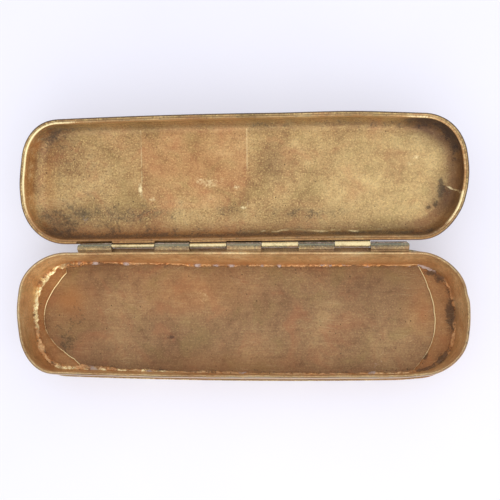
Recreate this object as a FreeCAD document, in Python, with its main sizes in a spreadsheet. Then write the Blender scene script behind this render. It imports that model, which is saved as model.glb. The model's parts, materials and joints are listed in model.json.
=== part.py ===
import FreeCAD, Part
import math
import os
import Sketcher

# Oblong hinged brass case, lying open: a deep base and a shallow lid. Each tray is a flat plate with a bent
# wall strip soldered to it, and a nine-knuckle wire hinge joins them along the back.
#
# Frame: origin at the centre of the base plate's underside, +X along the case, +Z up, with the hinge and the
# lid towards +Y. Lid pieces are drawn in the lid's own frame, whose X axis is the hinge line, with the lid
# spread flat towards +Y and its rim facing up. Their Placement then tilts them to the open rest pose.

DIMENSIONS = [
    # name, millimetres unless it says degrees, meaning
    ("case_length", 160.0, "plan outline, end to end"),
    ("case_width", 45.6, "plan outline, hinge side to front"),
    ("end_radius", 79.5, "shallow bow of each end"),
    ("front_radius", 2100.0, "slight bow of the long front side"),
    ("back_corner_radius", 16.5, "corners beside the hinge"),
    ("front_corner_radius", 15.0, "corners at the front"),
    ("base_plate_thick", 1.2, "bottom sheet"),
    ("base_plate_overhang", 0.6, "bottom sheet standing proud of the wall"),
    ("base_wall_high", 15.0, "base wall strip, height"),
    ("base_wall_thick", 1.0, "base wall strip, sheet"),
    ("lid_plate_thick", 0.8, "lid sheet"),
    ("lid_plate_overhang", 0.5, "lid sheet standing proud of the rim band"),
    ("lid_wall_high", 9.5, "lid wall strip, height"),
    ("lid_wall_thick", 0.8, "lid wall strip, sheet"),
    ("band_thick", 1.0, "rim band round the lid wall, sheet"),
    ("band_high", 4.0, "rim band, height"),
    ("solder_wide", 1.3, "solder bead, along the plate"),
    ("solder_high", 1.1, "solder bead, up the wall"),
    ("solder_lip", 0.2, "solder bead's thickness where it ends on the wall"),
    ("crescent_thick", 0.4, "crescent plates on the base floor"),
    ("crescent_left_reach", 4.5, "left crescent's inner edge, from the wall at the middle"),
    ("crescent_left_radius", 22.0, "left crescent's inner edge"),
    ("crescent_right_reach", 9.1, "right crescent's inner edge, from the wall at the middle"),
    ("crescent_right_radius", 28.0, "right crescent's inner edge"),
    ("knuckle_radius", 1.25, "outside of the rolled knuckles, and the hinge line's distance from each rim"),
    ("knuckle_gap", 0.2, "side gap between two knuckles"),
    ("pin_radius", 0.6, "hinge wire"),
    ("pin_clearance", 0.06, "running clearance round the wire"),
    ("leaf_thick", 0.55, "hinge leaf sheet"),
    ("base_leaf_high", 8.0, "base leaf, below the hinge line"),
    ("lid_leaf_high", 4.0, "lid leaf, below the hinge line"),
    ("leaf_shoulder", 1.7, "leaf's edge beside its knuckles, below the hinge line"),
    ("tongue_long", 4.8, "base leaf's tongue past the last knuckle"),
    ("tongue_drop", 3.0, "top of the tongue, below the hinge line"),
    ("notch_deep", 0.35, "file cut in a rim behind the other leaf's knuckles"),
    ("notch_high", 1.8, "height of that file cut"),
    ("rim_gap", 0.05, "each rim's distance from the hinge line's level"),
    ("seam_gap", 0.1, "joint where the two ends of a strip meet"),
    ("lid_seam_slant", 35.0, "degrees, slant of the lid wall's end joint"),
    ("lid_seam_reach", 18.0, "lid wall's end joint, from the hinge line"),
    ("rest_tilt", 14.0, "degrees, open lid's front edge above level"),
]

# Hand-cut knuckles, each between two neighbouring edges: five for the base, with four of the lid's between.
KNUCKLE_EDGES = (-58.5, -46.0, -30.4, -17.7, -4.4, 8.1, 21.2, 33.9, 46.5, 60.0)
BASE_KNUCKLES = range(0, 9, 2)
LID_KNUCKLES = range(1, 9, 2)

BACK_Y = "Dims.case_width / 2"
HINGE_Y = "Dims.case_width / 2 + Dims.knuckle_radius"
BASE_RIM_Z = "Dims.base_plate_thick + Dims.base_wall_high"
HINGE_Z = "Dims.base_plate_thick + Dims.base_wall_high + Dims.rim_gap"
LID_BACK_Y = "Dims.knuckle_radius"
LID_RIM_Z = "-Dims.rim_gap"
LID_FLOOR_Z = "-Dims.rim_gap - Dims.lid_wall_high"

doc = FreeCAD.newDocument("HingedCase")


def make_sheet():
    """Spreadsheet of the driving dimensions: meaning, value, alias."""
    dims = doc.addObject("Spreadsheet::Sheet", "Dims")
    rows = DIMENSIONS + [
        (f"knuckle_edge_{index}", value, "knuckle boundary along the hinge line")
        for index, value in enumerate(KNUCKLE_EDGES)
    ]
    for row, (alias, value, meaning) in enumerate(rows, start=1):
        dims.set(f"A{row}", meaning)
        dims.set(f"B{row}", str(value))
        dims.setAlias(f"B{row}", alias)
    doc.recompute()
    return dims


def bind(item, **expressions):
    """Bind properties to expressions; a double underscore in a name stands for a dot."""
    for name, expression in expressions.items():
        item.setExpression(name.replace("__", "."), expression)
    return item


# ---- plan outline -------------------------------------------------------------------------------------


def outline_arcs():
    """Cell, centre and radius of the outline's arcs, round from the back-right corner to the back-left.

    The straight hinge side lies on the X axis and the case spreads towards +Y.
    """
    end = FreeCAD.Vector(sheet.case_length / 2 - sheet.end_radius, sheet.case_width / 2, 0)
    front = FreeCAD.Vector(0, sheet.case_width - sheet.front_radius, 0)
    corner_rise = sheet.back_corner_radius - end.y
    corner_run = math.sqrt((sheet.end_radius - sheet.back_corner_radius) ** 2 - corner_rise**2)
    back_corner = FreeCAD.Vector(end.x + corner_run, sheet.back_corner_radius, 0)
    # The front corner touches the end arc and the front arc from inside, so its centre is where two
    # circles cross: one round each of their centres.
    from_end = sheet.end_radius - sheet.front_corner_radius
    from_front = sheet.front_radius - sheet.front_corner_radius
    apart = (end - front).Length
    along = (from_end**2 - from_front**2 + apart**2) / (2 * apart)
    aside = math.sqrt(from_end**2 - along**2)
    unit = (front - end) / apart
    front_corner = end + unit * along + FreeCAD.Vector(-unit.y, unit.x, 0) * aside

    def mirrored(point):
        return FreeCAD.Vector(-point.x, point.y, 0)

    right = [
        ("back_corner_radius", back_corner, sheet.back_corner_radius),
        ("end_radius", end, sheet.end_radius),
        ("front_corner_radius", front_corner, sheet.front_corner_radius),
    ]
    left = [(cell, mirrored(centre), radius) for cell, centre, radius in reversed(right)]
    return right + [("front_radius", front, sheet.front_radius)] + left


def arc_turns(arcs):
    """Headings at which each arc hands over to the next, rising from the hinge side right round to it."""
    turns = [-math.pi / 2]
    for (_, here, here_radius), (_, there, there_radius) in zip(arcs, arcs[1:]):
        # Two touching arcs meet beyond the centre of the smaller one.
        across = there - here if here_radius > there_radius else here - there
        turn = math.atan2(across.y, across.x)
        turns.append(turn if turn > turns[-1] else turn + 2 * math.pi)
    turns.append(1.5 * math.pi)
    return turns


def outline_sketch(name, back_y, half_turn):
    """Closed outline: straight hinge side, rounded corners, bowed ends, slightly bowed front.

    It spreads towards +Y from back_y, or towards -Y where half_turn is set.
    """
    sketch = doc.addObject("Sketcher::SketchObject", name)
    arcs = outline_arcs()
    turns = arc_turns(arcs)
    hinge_side_reach = arcs[0][1].x
    hinge_side_ends = (FreeCAD.Vector(-hinge_side_reach, 0, 0), FreeCAD.Vector(hinge_side_reach, 0, 0))
    sketch.addGeometry(Part.LineSegment(*hinge_side_ends), False)
    for (_, centre, radius), first, last in zip(arcs, turns, turns[1:]):
        circle = Part.Circle(centre, FreeCAD.Vector(0, 0, 1), radius)
        sketch.addGeometry(Part.ArcOfCircle(circle, first, last), False)

    start, finish, middle = 1, 2, 3
    x_axis, y_axis, origin = -1, -2, -1
    hinge_side, right_end, front, left_end = 0, 2, 4, 6
    count = len(arcs) + 1
    sketch.addConstraint(Sketcher.Constraint("Horizontal", hinge_side))
    sketch.addConstraint(Sketcher.Constraint("PointOnObject", hinge_side, start, x_axis))
    sketch.addConstraint(Sketcher.Constraint("PointOnObject", front, middle, y_axis))
    for index in range(count):
        following = (index + 1) % count
        sketch.addConstraint(Sketcher.Constraint("Tangent", index, finish, following, start))

    def dimension(constraint, expression):
        row = sketch.addConstraint(constraint)
        sketch.setExpression(f"Constraints[{row}]", expression)

    def centre_at(kind, curve, value, expression):
        dimension(Sketcher.Constraint(kind, origin, start, curve, middle, value), expression)

    for index, (cell, _, radius) in enumerate(arcs, start=1):
        dimension(Sketcher.Constraint("Radius", index, radius), f"Dims.{cell}")
    end_x = "Dims.case_length / 2 - Dims.end_radius"
    for curve, sign in ((right_end, "+"), (left_end, "-")):
        centre = arcs[curve - 1][1]
        centre_at("DistanceX", curve, centre.x, f"{sign}({end_x})")
        centre_at("DistanceY", curve, centre.y, "Dims.case_width / 2")
    centre_at("DistanceY", front, arcs[front - 1][1].y, "Dims.case_width - Dims.front_radius")

    sketch.Placement.Rotation = FreeCAD.Rotation(FreeCAD.Vector(0, 0, 1), 180 if half_turn else 0)
    return bind(sketch, Placement__Base__y=back_y)


def inset(outline, name, distance):
    """The outline moved inwards."""
    offset = doc.addObject("Part::Offset2D", name)
    offset.Source = outline
    offset.Join = 0
    return bind(offset, Value=f"-({distance})")


# ---- building blocks ----------------------------------------------------------------------------------


def slab(profile, name, bottom, height):
    """Straight upright solid on a closed profile."""
    solid = doc.addObject("Part::Extrusion", name)
    solid.Base = profile
    solid.DirMode = "Custom"
    solid.Dir = FreeCAD.Vector(0, 0, 1)
    solid.Solid = True
    return bind(solid, LengthFwd=height, Placement__Base__z=bottom)


def block(name, low, size):
    box = doc.addObject("Part::Box", name)
    bind(box, Placement__Base__x=low[0], Placement__Base__y=low[1], Placement__Base__z=low[2])
    return bind(box, Length=size[0], Width=size[1], Height=size[2])


def rod(name, radius, low_x, length, centre_y, centre_z):
    """Round bar along +X."""
    bar = doc.addObject("Part::Cylinder", name)
    bar.Placement.Rotation = FreeCAD.Rotation(FreeCAD.Vector(0, 1, 0), 90)
    bind(bar, Placement__Base__x=low_x, Placement__Base__y=centre_y, Placement__Base__z=centre_z)
    return bind(bar, Radius=radius, Height=length)


def cut(name, body, tool):
    result = doc.addObject("Part::Cut", name)
    result.Base = body
    result.Tool = tool
    return result


def fuse(name, pieces):
    result = doc.addObject("Part::MultiFuse", name)
    result.Shapes = pieces
    return result


def ring(name, outer, inner, bottom, height):
    """Wall strip bent round an outline."""
    outside = slab(outer, f"{name}Outside", bottom, height)
    inside = slab(inner, f"{name}Inside", bottom, height)
    return cut(f"{name}Ring", outside, inside)


def solder_bead(name, wall_face, bead_edge, floor_z):
    """Bead in the corner of a tray: upright against the wall, sloping down to the plate."""
    blank = slab(wall_face, f"{name}_blank", floor_z, "Dims.solder_high")
    hollow = slab(bead_edge, f"{name}_hollow", floor_z, "Dims.solder_high")
    bind(hollow, TaperAngle="atan((Dims.solder_wide - Dims.solder_lip) / Dims.solder_high)")
    return cut(name, blank, hollow)


def knuckle_edge(index):
    return f"Dims.knuckle_edge_{index}"


def rim_notches(name, knuckles, low_y, rim_z):
    """File cuts in a rim, behind the knuckles of the other leaf."""
    cuts = []
    for knuckle in knuckles:
        first, last = knuckle_edge(knuckle), knuckle_edge(knuckle + 1)
        low = (f"{first} - Dims.knuckle_gap / 2", low_y, f"{rim_z} - Dims.notch_high")
        size = (f"{last} - {first} + Dims.knuckle_gap", "2 * Dims.notch_deep", "2 * Dims.notch_high")
        cuts.append(block(f"{name}{knuckle}", low, size))
    return fuse(name, cuts)


def hinge_leaf(name, knuckles, leaf_y, hinge_y, hinge_z, leaf_high, extras=()):
    """Strip as long as its own row of knuckles, which are rolled on its top edge and bored for the wire."""
    first, last = knuckle_edge(knuckles[0]), knuckle_edge(knuckles[-1] + 1)
    low = (first, leaf_y, f"{hinge_z} - {leaf_high}")
    size = (f"{last} - {first}", "Dims.leaf_thick", f"{leaf_high} - Dims.leaf_shoulder")
    pieces = [block(f"{name}_strip", low, size), *extras]
    for knuckle in knuckles:
        low_x = f"{knuckle_edge(knuckle)} + Dims.knuckle_gap / 2"
        length = f"{knuckle_edge(knuckle + 1)} - {knuckle_edge(knuckle)} - Dims.knuckle_gap"
        low = (low_x, leaf_y, f"{hinge_z} - Dims.leaf_shoulder")
        size = (length, "Dims.leaf_thick", "Dims.leaf_shoulder")
        pieces.append(block(f"{name}_tab{knuckle}", low, size))
        pieces.append(rod(f"{name}_roll{knuckle}", "Dims.knuckle_radius", low_x, length, hinge_y, hinge_z))
    bore_radius = "Dims.pin_radius + Dims.pin_clearance"
    bore = rod(f"{name}_bore", bore_radius, first, f"{last} - {first}", hinge_y, hinge_z)
    return cut(name, fuse(f"{name}_blank", pieces), bore)


# ---- base pieces --------------------------------------------------------------------------------------


def base_plate():
    profile = inset(base_outline, "BasePlateOutline", "-Dims.base_plate_overhang")
    return slab(profile, "base_plate", "0", "Dims.base_plate_thick")


def base_wall():
    """Strip with its ends meeting behind the hinge leaf, and filed back for the lid's knuckles."""
    strip = ring("BaseWall", base_outline, base_wall_face, "Dims.base_plate_thick", "Dims.base_wall_high")
    seam = block(
        "BaseWallSeam",
        ("-Dims.seam_gap / 2", f"{BACK_Y} - 2 * Dims.base_wall_thick", "0"),
        ("Dims.seam_gap", "3 * Dims.base_wall_thick", "2 * Dims.base_wall_high"),
    )
    notches = rim_notches("BaseNotch", LID_KNUCKLES, f"{BACK_Y} - Dims.notch_deep", BASE_RIM_Z)
    return cut("base_wall", cut("BaseWallStrip", strip, seam), notches)


def base_solder():
    return solder_bead("base_solder", base_wall_face, base_bead_edge, "Dims.base_plate_thick")


def crescent(name, side, reach, radius):
    """Plate on the base floor that fills one end outside a round inner edge; side is + or -."""
    blank = slab(base_bead_edge, f"{name}_blank", "Dims.base_plate_thick", "Dims.crescent_thick")
    centre_x = f"{side}(Dims.case_length / 2 - Dims.base_wall_thick - {reach} - {radius})"
    cutter_high = "Dims.base_plate_thick + 2 * Dims.crescent_thick"
    round_edge = doc.addObject("Part::Cylinder", f"{name}_edge")
    bind(round_edge, Placement__Base__x=centre_x, Radius=radius, Height=cutter_high)
    rest_x = centre_x if side == "-" else f"{centre_x} - Dims.case_length"
    rest_size = ("Dims.case_length", "Dims.case_width", cutter_high)
    rest = block(f"{name}_rest", (rest_x, "-Dims.case_width / 2", "0"), rest_size)
    return cut(name, blank, fuse(f"{name}_cutter", [round_edge, rest]))


def base_hinge_leaf():
    """Leaf on the outside of the back wall, running on past its last knuckle as a low tongue."""
    tongue = block(
        "LeafTongue",
        (knuckle_edge(9), BACK_Y, f"{HINGE_Z} - Dims.base_leaf_high"),
        ("Dims.tongue_long", "Dims.leaf_thick", "Dims.base_leaf_high - Dims.tongue_drop"),
    )
    leaf_high = "Dims.base_leaf_high"
    return hinge_leaf("base_hinge_leaf", BASE_KNUCKLES, BACK_Y, HINGE_Y, HINGE_Z, leaf_high, [tongue])


def hinge_pin():
    low_x = f"{knuckle_edge(0)} + Dims.knuckle_gap / 2"
    length = f"{knuckle_edge(9)} - {knuckle_edge(0)} - Dims.knuckle_gap"
    return rod("hinge_pin", "Dims.pin_radius", low_x, length, HINGE_Y, HINGE_Z)


# ---- lid pieces, in the lid's own frame ---------------------------------------------------------------


def tilt(piece, profile_z="0"):
    """Carry a lid piece to the open rest pose; profile_z is where its profile stands in the lid's frame."""
    piece.Placement.Rotation = FreeCAD.Rotation(FreeCAD.Vector(1, 0, 0), sheet.rest_tilt)
    angle = "Dims.rest_tilt * 1 deg"
    bind(piece, Placement__Rotation__Angle=angle)
    bind(piece, Placement__Base__y=f"{HINGE_Y} - sin({angle}) * ({profile_z})")
    return bind(piece, Placement__Base__z=f"{HINGE_Z} + cos({angle}) * ({profile_z})")


def lid_plate():
    profile = inset(lid_outline, "LidPlateOutline", "-Dims.lid_plate_overhang")
    underside = f"{LID_FLOOR_Z} - Dims.lid_plate_thick"
    return tilt(slab(profile, "lid_plate", underside, "Dims.lid_plate_thick"), underside)


def lid_wall():
    """Strip with its ends meeting in a slanted joint at the right-hand end."""
    strip = ring("LidWall", lid_band_face, lid_wall_face, LID_FLOOR_Z, "Dims.lid_wall_high")
    seam = block(
        "LidWallSeam",
        ("Dims.case_length / 2 - 4 * Dims.band_thick", "Dims.lid_seam_reach", "-2 * Dims.lid_wall_high"),
        ("4 * Dims.band_thick", "Dims.seam_gap", "4 * Dims.lid_wall_high"),
    )
    seam.Placement.Rotation = FreeCAD.Rotation(FreeCAD.Vector(1, 0, 0), sheet.lid_seam_slant)
    bind(seam, Placement__Rotation__Angle="Dims.lid_seam_slant * 1 deg")
    return tilt(cut("lid_wall", strip, seam))


def lid_rim_band():
    """Second strip round the lid wall's edge, meeting behind the hinge, filed for the base's knuckles."""
    bottom = f"{LID_RIM_Z} - Dims.band_high"
    strip = ring("Band", lid_outline, lid_band_face, bottom, "Dims.band_high")
    seam = block(
        "BandSeam",
        ("-Dims.seam_gap / 2", "0", "-2 * Dims.band_high"),
        ("Dims.seam_gap", "Dims.knuckle_radius + 1.5 * Dims.band_thick", "4 * Dims.band_high"),
    )
    notches = rim_notches("BandNotch", BASE_KNUCKLES, f"{LID_BACK_Y} - Dims.notch_deep", LID_RIM_Z)
    return tilt(cut("lid_rim_band", cut("BandStrip", strip, seam), notches))


def lid_solder():
    return tilt(solder_bead("lid_solder", lid_wall_face, lid_bead_edge, LID_FLOOR_Z))


def lid_hinge_leaf():
    leaf_y = f"{LID_BACK_Y} - Dims.leaf_thick"
    return tilt(hinge_leaf("lid_hinge_leaf", LID_KNUCKLES, leaf_y, "0", "0", "Dims.lid_leaf_high"))


# ---- model --------------------------------------------------------------------------------------------


def check(pieces):
    """Stop on a failed object or a broken solid before any file is written."""
    for item in doc.Objects:
        failed = {"Invalid", "Error"} & set(item.State)
        assert not failed, f"{item.Name}: {item.State}"
    for piece in pieces:
        shape = piece.Shape
        assert not shape.isNull() and shape.isValid() and shape.Solids, piece.Label
        box = shape.BoundBox
        extent = f"{box.XLength:6.1f} x {box.YLength:5.1f} x {box.ZLength:4.1f} mm"
        print(f"{piece.Label:22s} {shape.Volume:8.1f} mm3, {extent}")


sheet = make_sheet()

base_outline = outline_sketch("BaseOutline", BACK_Y, True)
base_wall_face = inset(base_outline, "BaseWallFace", "Dims.base_wall_thick")
base_bead_edge = inset(base_outline, "BaseBeadEdge", "Dims.base_wall_thick + Dims.solder_wide")

lid_outline = outline_sketch("LidOutline", LID_BACK_Y, False)
lid_band_face = inset(lid_outline, "LidBandFace", "Dims.band_thick")
lid_wall_face = inset(lid_outline, "LidWallFace", "Dims.band_thick + Dims.lid_wall_thick")
lid_bead_edge = inset(
    lid_outline, "LidBeadEdge", "Dims.band_thick + Dims.lid_wall_thick + Dims.solder_wide"
)

parts = [
    base_plate(),
    base_wall(),
    base_solder(),
    crescent("base_crescent_left", "-", "Dims.crescent_left_reach", "Dims.crescent_left_radius"),
    crescent("base_crescent_right", "+", "Dims.crescent_right_reach", "Dims.crescent_right_radius"),
    base_hinge_leaf(),
    hinge_pin(),
    lid_plate(),
    lid_wall(),
    lid_rim_band(),
    lid_solder(),
    lid_hinge_leaf(),
]
doc.recompute()
check(parts)

os.makedirs("parts", exist_ok=True)
for part in parts:
    part.Shape.exportStep(f"parts/{part.Label}.step")
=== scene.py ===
"""Looks of the oblong brass case that lies open: a deep base, a shallow lid and a nine-knuckle wire hinge.

Lengths are millimetres until a mesh is made. Both trays share one plan outline, given by two numbers: q runs
round it (along a stadium's long sides and round its ends) and depth is the distance inwards from the edge.
"""

import json
import math
import bpy
import bmesh
import numpy as np
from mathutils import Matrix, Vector


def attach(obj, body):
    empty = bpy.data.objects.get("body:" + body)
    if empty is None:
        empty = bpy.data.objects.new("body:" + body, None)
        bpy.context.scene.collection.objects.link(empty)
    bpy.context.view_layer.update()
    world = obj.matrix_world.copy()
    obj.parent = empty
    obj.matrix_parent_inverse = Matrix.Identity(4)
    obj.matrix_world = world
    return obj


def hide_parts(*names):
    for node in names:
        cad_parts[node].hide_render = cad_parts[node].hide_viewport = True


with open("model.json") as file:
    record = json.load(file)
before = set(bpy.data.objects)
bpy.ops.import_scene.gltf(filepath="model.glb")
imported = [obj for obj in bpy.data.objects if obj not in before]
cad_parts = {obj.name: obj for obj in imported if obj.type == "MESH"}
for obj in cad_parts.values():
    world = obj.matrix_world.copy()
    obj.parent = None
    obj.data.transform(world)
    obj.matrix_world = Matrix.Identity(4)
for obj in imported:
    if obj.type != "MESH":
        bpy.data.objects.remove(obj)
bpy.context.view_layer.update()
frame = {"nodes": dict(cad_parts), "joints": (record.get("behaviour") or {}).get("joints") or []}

MM = 0.001
HINGE = frame["joints"][0]
PIVOT = np.array(HINGE["pos_m"]) / MM
TILT = -math.radians(HINGE["range_deg"][0])  # the joint's lower limit lays the lid flat


def turned(points, angle):
    """Points turned about the X axis."""
    x, y, z = np.moveaxis(np.asarray(points, float), -1, 0)
    cos, sin = math.cos(angle), math.sin(angle)
    return np.stack([x, y * cos - z * sin, y * sin + z * cos], axis=-1)


def lid_to_row(points):
    return turned(points, TILT) + PIVOT


def base_to_row(points):
    return np.asarray(points, float)


def cad_extent(node, lid=False):
    """Lowest and highest corner of a CAD node in its own body's frame, in millimetres."""
    count = len(frame["nodes"][node].data.vertices)
    flat = np.zeros(count * 3)
    frame["nodes"][node].data.vertices.foreach_get("co", flat)
    points = flat.reshape(-1, 3) / MM
    if lid:
        points = turned(points - PIVOT, -TILT)
    return points.min(axis=0), points.max(axis=0)


# ---- sizes, read from the CAD frame ----

wall_low, wall_high = cad_extent("base_wall")
plate_low, plate_high = cad_extent("base_plate")
leaf_low, leaf_high = cad_extent("base_hinge_leaf")
pin_low, pin_high = cad_extent("hinge_pin")
lid_plate_low, lid_plate_high = cad_extent("lid_plate", lid=True)
band_low, band_high = cad_extent("lid_rim_band", lid=True)
lid_leaf_low, _ = cad_extent("lid_hinge_leaf", lid=True)

LENGTH = wall_high[0] - wall_low[0]
WIDTH = wall_high[1] - wall_low[1]
BACK_Y = wall_high[1]
FLOOR_Z = plate_high[2]
RIM_Z = wall_high[2]
BASE_LIP = plate_high[0] - wall_high[0]
BASE_WALL = 1.0  # sheet thickness, as are BAND, LID_WALL and LEAF
LID_BACK = band_low[1]
LID_RIM = band_high[2]
BAND_FOOT = band_low[2]
LID_FLOOR = lid_plate_high[2]
LID_UNDER = lid_plate_low[2]
LID_LIP = lid_plate_high[0] - band_high[0]
BAND = 1.0
LID_WALL = 0.8
ROLL = PIVOT[1] - BACK_Y  # radius of the rolled knuckles
PIN = (pin_high[2] - pin_low[2]) / 2
LEAF = 0.55
KNUCKLE_GAP = 0.2
KNUCKLE_EDGES = (-58.5, -46.0, -30.4, -17.7, -4.4, 8.1, 21.2, 33.9, 46.5, 60.0)


# ---- plan outline ----

HALF = WIDTH / 2
SPINE = LENGTH / 2 - HALF  # half the medial line that every cross-section points to
END = math.pi * HALF  # q taken by each round end
SIDE = 2 * SPINE
LOOP = 2 * (END + SIDE)
END_RADIUS = 79.5
FRONT_RADIUS = 2100.0
BACK_CORNER = 16.5
FRONT_CORNER = 15.0


def outline_arcs():
    """Centre and radius of the four arcs from the hinge side round the right end to the front."""
    end = np.array([LENGTH / 2 - END_RADIUS, HALF])
    front = np.array([0.0, WIDTH - FRONT_RADIUS])
    rise = BACK_CORNER - HALF
    run = math.sqrt((END_RADIUS - BACK_CORNER) ** 2 - rise**2)
    back = end + np.array([run, rise])
    from_end = END_RADIUS - FRONT_CORNER
    from_front = FRONT_RADIUS - FRONT_CORNER
    apart = np.linalg.norm(end - front)
    along = (from_end**2 - from_front**2 + apart**2) / (2 * apart)
    aside = math.sqrt(from_end**2 - along**2)
    unit = (front - end) / apart
    corner = end + unit * along + np.array([-unit[1], unit[0]]) * aside
    return [(back, BACK_CORNER), (end, END_RADIUS), (corner, FRONT_CORNER), (front, FRONT_RADIUS)]


ARCS = outline_arcs()


SIDE_POINTS = 80
ARC_POINTS = 120


def half_outline(depth):
    """Right half of the outline moved inwards by depth, from the hinge side's middle to the front's."""
    headings = [-math.pi / 2]
    for (here, here_radius), (there, there_radius) in zip(ARCS, ARCS[1:]):
        across = there - here if here_radius > there_radius else here - there
        headings.append(math.atan2(across[1], across[0]))
    headings.append(math.pi / 2)
    side = np.linspace(0, ARCS[0][0][0], SIDE_POINTS)
    points = [np.stack([side, np.full(SIDE_POINTS, depth)], axis=1)]
    for (centre, radius), first, last in zip(ARCS, headings, headings[1:]):
        turn = np.linspace(first, last, ARC_POINTS)
        points.append(centre + (radius - depth) * np.stack([np.cos(turn), np.sin(turn)], axis=1))
    return np.concatenate(points)


def stadium(q):
    """Foot on the medial line and unit direction outwards, for each q."""
    q = np.mod(q, LOOP)
    right, left = q < END, (q >= END + SIDE) & (q < 2 * END + SIDE)
    front = (q >= END) & (q < END + SIDE)
    foot = np.where(right, SPINE, np.where(left, -SPINE, 0.0))
    foot = np.where(front, SPINE - (q - END), foot)
    foot = np.where(q >= 2 * END + SIDE, -SPINE + (q - 2 * END - SIDE), foot)
    turn = np.where(right, q / HALF - math.pi / 2, 0.0)
    turn = np.where(left, math.pi / 2 + (q - END - SIDE) / HALF, turn)
    turn = np.where(front, math.pi / 2, turn)
    turn = np.where(q >= 2 * END + SIDE, -math.pi / 2, turn)
    return foot, np.cos(turn), np.sin(turn)


def q_of(x, v):
    """Inverse of stadium(): q of a point in the plan."""
    right = HALF * (np.arctan2(v - HALF, x - SPINE) + math.pi / 2)
    left = END + SIDE + HALF * (np.mod(np.arctan2(v - HALF, x + SPINE), 2 * math.pi) - math.pi / 2)
    front = END + SPINE - x
    hinge = 2 * END + SIDE + x + SPINE
    long_side = np.where(v > HALF, front, hinge)
    return np.where(x > SPINE, right, np.where(x < -SPINE, left, long_side))


_reaches = {}


def reach(q, depth):
    """Distance from the medial line to the outline moved inwards by depth."""
    key = round(float(depth), 4)
    if key not in _reaches:
        right = half_outline(key)
        left = right[::-1] * (-1, 1)
        loop = np.concatenate([right, left[1:-1]])
        marks = q_of(loop[:, 0], loop[:, 1])
        away = np.hypot(np.maximum(np.abs(loop[:, 0]) - SPINE, 0), loop[:, 1] - HALF)
        order = np.argsort(marks)
        _reaches[key] = (marks[order], away[order])
    marks, away = _reaches[key]
    return np.interp(np.mod(q, LOOP), marks, away, period=LOOP)


def ring(q, depth, height, pull=1.0):
    """Row round the tray: x, v (away from the hinge), height, q, depth. pull 0 is the medial line."""
    q = np.asarray(q, float)
    foot, across, along = stadium(q)
    away = reach(q, depth) * pull
    inside = reach(q, 0.0) - away
    height = np.broadcast_to(height, q.shape)
    return np.stack([foot + across * away, HALF + along * away, height, np.mod(q, LOOP), inside], axis=1)


def stations(step, extra_x=()):
    """q values round the tray. The two long sides share their x, so plates close along the medial line."""
    xs = np.linspace(-SPINE, SPINE, int(SIDE / step) + 1)
    xs = np.unique(np.round(np.concatenate([xs, [x for x in extra_x if abs(x) < SPINE]]), 4))
    turn = np.linspace(0, END, int(END / step) + 1)[1:-1]
    right = np.concatenate([[0.0], turn])
    front = END + SPINE - xs[::-1]
    left = END + SIDE + turn
    hinge = 2 * END + SIDE + SPINE + xs[:-1]
    past = [q_of(np.array(x), np.array(0.5)) for x in extra_x if abs(x) > SPINE]
    return np.unique(np.round(np.concatenate([right, front, left, hinge, past]), 5))


# ---- noise and blending ----


def lattice(ix, iy, iz, seed):
    """Fixed random value, -1 to 1, at each whole-number point."""
    mix = (ix * 374761393 + iy * 668265263 + iz * 1440662683 + seed * 97531) & 0xFFFFFFFF
    mix = ((mix ^ (mix >> 13)) * 1274126177) & 0xFFFFFFFF
    return ((mix ^ (mix >> 16)) & 0xFFFF) / 32767.5 - 1.0


def cloud(points, size, seed, octaves=2):
    """Smooth noise, about -1 to 1, whose lumps are size millimetres across."""
    total = np.zeros(len(points))
    for octave in range(octaves):
        scaled = points[:, :3] / size * 2**octave + 31.7 * octave
        cell = np.floor(scaled).astype(np.int64)
        part = scaled - cell
        part = part * part * (3 - 2 * part)
        value = np.zeros(len(points))
        for corner in range(8):
            step = np.array([corner & 1, corner >> 1 & 1, corner >> 2 & 1])
            weight = np.prod(np.where(step, part, 1 - part), axis=1)
            value += weight * lattice(*(cell + step).T, seed + octave)
        total += value / 2**octave
    return total


def smooth(low, high, value):
    """0 below low, 1 above high, eased between; low may be the larger."""
    share = np.clip((np.asarray(value, float) - low) / (high - low), 0, 1)
    return share * share * (3 - 2 * share)


def hump(value, centre, half_wide):
    """1 at the centre, easing to 0 at half_wide either side."""
    return 1 - smooth(0, half_wide, np.abs(value - centre))


def blob(x, y, at_x, at_y, wide, high):
    """Soft oval patch."""
    return np.exp(-(((x - at_x) / wide) ** 2) - ((y - at_y) / high) ** 2)


def blobs(x, y, *spots):
    """Sum of soft oval patches, each given as strength, x, y, wide and high."""
    return sum(strength * blob(x, y, *shape) for strength, *shape in spots)


# ---- hand-made unevenness ----

# Where each tray's outline swells (+) or is drawn in (-): q where it starts, peaks and ends, and how far.
BASE_SWELLS = [
    (28.6, 32.0, 47.5, 0.45), (39, 56, 73, -0.95), (8, 20, 32, -0.3),
    (195, 210, 225, -1.0), (211, 231, 251, 0.4),
]
LID_SWELLS = [(26, 38, 50, 0.55), (9, 21, 33, -0.9), (198, 212, 226, -0.75), (58, 88, 118, 0.5)]
BASE_NICKS = (42.4, 45.8)  # q of two small nicks in the base's rim, at the right end


def base_hinge_gap(x):
    """How far the base's hinge side stands from its CAD place, away from the hinge."""
    return 0.7 + 0.25 * smooth(-60, 60, x)


def lid_hinge_gap(x):
    """The same for the lid. Below 0 its side stands towards the hinge."""
    return -0.55 + 0.95 * smooth(-60, 60, x)


def pushed_out(points, amount):
    """Points moved outwards, square to the outline, in place."""
    _, across, along = stadium(points[:, 3])
    points[:, 0] += across * amount
    points[:, 1] += along * amount
    return points


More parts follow.
